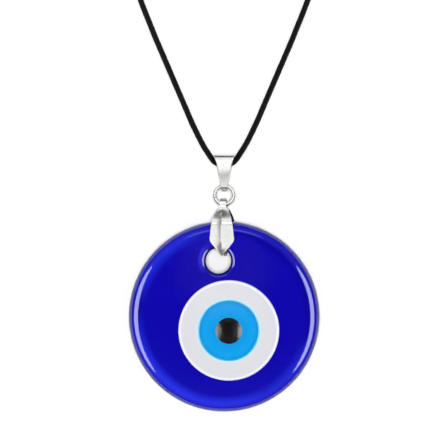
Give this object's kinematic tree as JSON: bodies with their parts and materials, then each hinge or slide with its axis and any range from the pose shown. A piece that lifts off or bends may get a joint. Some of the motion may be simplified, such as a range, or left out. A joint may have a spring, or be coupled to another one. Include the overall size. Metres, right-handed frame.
{
  "type": "evil eye pendant necklace",
  "caption": "Round cobalt glass eye pendant on a pinch bail, jump ring and ribbon bail, threaded on a thin black cord with a clasp and an extender chain, laid flat.",
  "frame": {"origin": "centre of the pendant's box (disc, bails and ring), on the surface that it lies on", "axes": "+Z out of the front of the eye, +Y from the disc to the bails and the cord, +X to the right as seen from the front"},
  "size_m": [0.0511, 0.1831, 0.0092],
  "materials": {
    "cobalt_glass": "pressed translucent cobalt-blue glass, fire polished",
    "white_glass": "opaque white glass, melted in",
    "light_blue_glass": "opaque light-blue glass, melted in",
    "black_glass": "opaque black glass drop",
    "polished_alloy": "stamped zinc alloy, polished and silver plated",
    "nickel_finding": "nickel-plated wire and cast findings",
    "spring_steel": "bare spring wire",
    "waxed_cord": "black waxed cotton cord, tightly braided",
    "tie_paper": "paper-covered wire twist tie, black"
  },
  "bodies": {
    "cord": {"neck_cord": "waxed_cord", "cord_coil": "waxed_cord", "coil_tie": "tie_paper", "cord_tail_clasp": "waxed_cord", "cord_tail_chain": "waxed_cord", "cord_cap_clasp": "nickel_finding", "cord_cap_chain": "nickel_finding"},
    "ribbon_bail": {"ribbon_bail": "polished_alloy"},
    "jump_ring": {"jump_ring": "polished_alloy"},
    "pinch_bail": {"pinch_bail": "polished_alloy"},
    "glass_eye": {"glass_disc": "cobalt_glass", "eye_white": "white_glass", "eye_light_blue": "light_blue_glass", "eye_pupil": "black_glass"},
    "clasp_ring": {"end_ring_clasp": "nickel_finding"},
    "clasp": {"clasp_body": "nickel_finding", "clasp_rivet": "nickel_finding", "clasp_spring": "spring_steel"},
    "clasp_lever": {"clasp_lever": "nickel_finding"},
    "chain_ring": {"end_ring_chain": "nickel_finding"},
    "chain_link_1": {"chain_link_1": "nickel_finding"},
    "chain_link_2": {"chain_link_2": "nickel_finding"},
    "chain_link_3": {"chain_link_3": "nickel_finding"},
    "chain_link_4": {"chain_link_4": "nickel_finding"},
    "chain_link_5": {"chain_link_5": "nickel_finding"},
    "chain_link_6": {"chain_link_6": "nickel_finding"},
    "chain_link_7": {"chain_link_7": "nickel_finding"},
    "chain_link_8": {"chain_link_8": "nickel_finding"},
    "chain_drop": {"chain_drop": "nickel_finding"}
  },
  "joints": [
    {"name": "ribbon_bail_on_cord", "type": "hinge", "parent": "cord", "child": "ribbon_bail", "pos_m": [0, 0.0315, 0.00235], "axis": [-1, 0, 0], "range_deg": [0, 60]},
    {"name": "jump_ring_in_ribbon_bail", "type": "hinge", "parent": "ribbon_bail", "child": "jump_ring", "pos_m": [0, 0.02523, 0.00363], "axis": [-1, 0, 0], "range_deg": [0, 50]},
    {"name": "pinch_bail_on_jump_ring", "type": "hinge", "parent": "jump_ring", "child": "pinch_bail", "pos_m": [0, 0.02045, 0.00491], "axis": [-1, 0, 0], "range_deg": [0, 40]},
    {"name": "disc_on_prongs", "type": "hinge", "parent": "pinch_bail", "child": "glass_eye", "pos_m": [-0.0002, 0.00799, 0.00447], "axis": [0, -0.0349, 0.9994], "range_deg": [-25, 25]},
    {"name": "clasp_ring_in_cap", "type": "hinge", "parent": "cord", "child": "clasp_ring", "pos_m": [-0.0192, 0.1036, 0.00148], "axis": [0.6861, 0.1711, 0.7071], "range_deg": [0, 25]},
    {"name": "clasp_on_ring", "type": "hinge", "parent": "clasp_ring", "child": "clasp", "pos_m": [-0.01972, 0.10569, 0.00148], "axis": [0.6861, 0.1711, -0.7071], "range_deg": [0, 25]},
    {"name": "clasp_lever_pivot", "type": "hinge", "parent": "clasp", "child": "clasp_lever", "pos_m": [-0.02375, 0.10989, 0.00148], "axis": [0, 0, -1], "range_deg": [0, 30], "stiffness_Nm_per_rad": 0.0004, "springref_deg": -17.19},
    {"name": "chain_ring_in_cap", "type": "hinge", "parent": "cord", "child": "chain_ring", "pos_m": [0.0122, 0.107, 0.00148], "axis": [0.7071, 0, 0.7071], "range_deg": [0, 25]},
    {"name": "chain_link_1_on_ring", "type": "hinge", "parent": "chain_ring", "child": "chain_link_1", "pos_m": [0.0122, 0.10915, 0.00148], "axis": [0.7071, 0, -0.7071], "range_deg": [0, 25]},
    {"name": "chain_link_2_on_link_1", "type": "hinge", "parent": "chain_link_1", "child": "chain_link_2", "pos_m": [0.0122, 0.11365, 0.00148], "axis": [0.7071, 0, 0.7071], "range_deg": [0, 25]},
    {"name": "chain_link_3_on_link_2", "type": "hinge", "parent": "chain_link_2", "child": "chain_link_3", "pos_m": [0.0122, 0.11815, 0.00148], "axis": [0.7071, 0, -0.7071], "range_deg": [0, 25]},
    {"name": "chain_link_4_on_link_3", "type": "hinge", "parent": "chain_link_3", "child": "chain_link_4", "pos_m": [0.0122, 0.12265, 0.00148], "axis": [0.7071, 0, 0.7071], "range_deg": [0, 25]},
    {"name": "chain_link_5_on_link_4", "type": "hinge", "parent": "chain_link_4", "child": "chain_link_5", "pos_m": [0.0122, 0.12715, 0.00148], "axis": [0.7071, 0, -0.7071], "range_deg": [0, 25]},
    {"name": "chain_link_6_on_link_5", "type": "hinge", "parent": "chain_link_5", "child": "chain_link_6", "pos_m": [0.0122, 0.13165, 0.00148], "axis": [0.7071, 0, 0.7071], "range_deg": [0, 25]},
    {"name": "chain_link_7_on_link_6", "type": "hinge", "parent": "chain_link_6", "child": "chain_link_7", "pos_m": [0.0122, 0.13615, 0.00148], "axis": [0.7071, 0, -0.7071], "range_deg": [0, 25]},
    {"name": "chain_link_8_on_link_7", "type": "hinge", "parent": "chain_link_7", "child": "chain_link_8", "pos_m": [0.0122, 0.14065, 0.00148], "axis": [0.7071, 0, 0.7071], "range_deg": [0, 25]},
    {"name": "chain_drop_on_link_8", "type": "hinge", "parent": "chain_link_8", "child": "chain_drop", "pos_m": [0.0122, 0.14515, 0.00148], "axis": [0.7071, 0, -0.7071], "range_deg": [0, 25]}
  ]
}
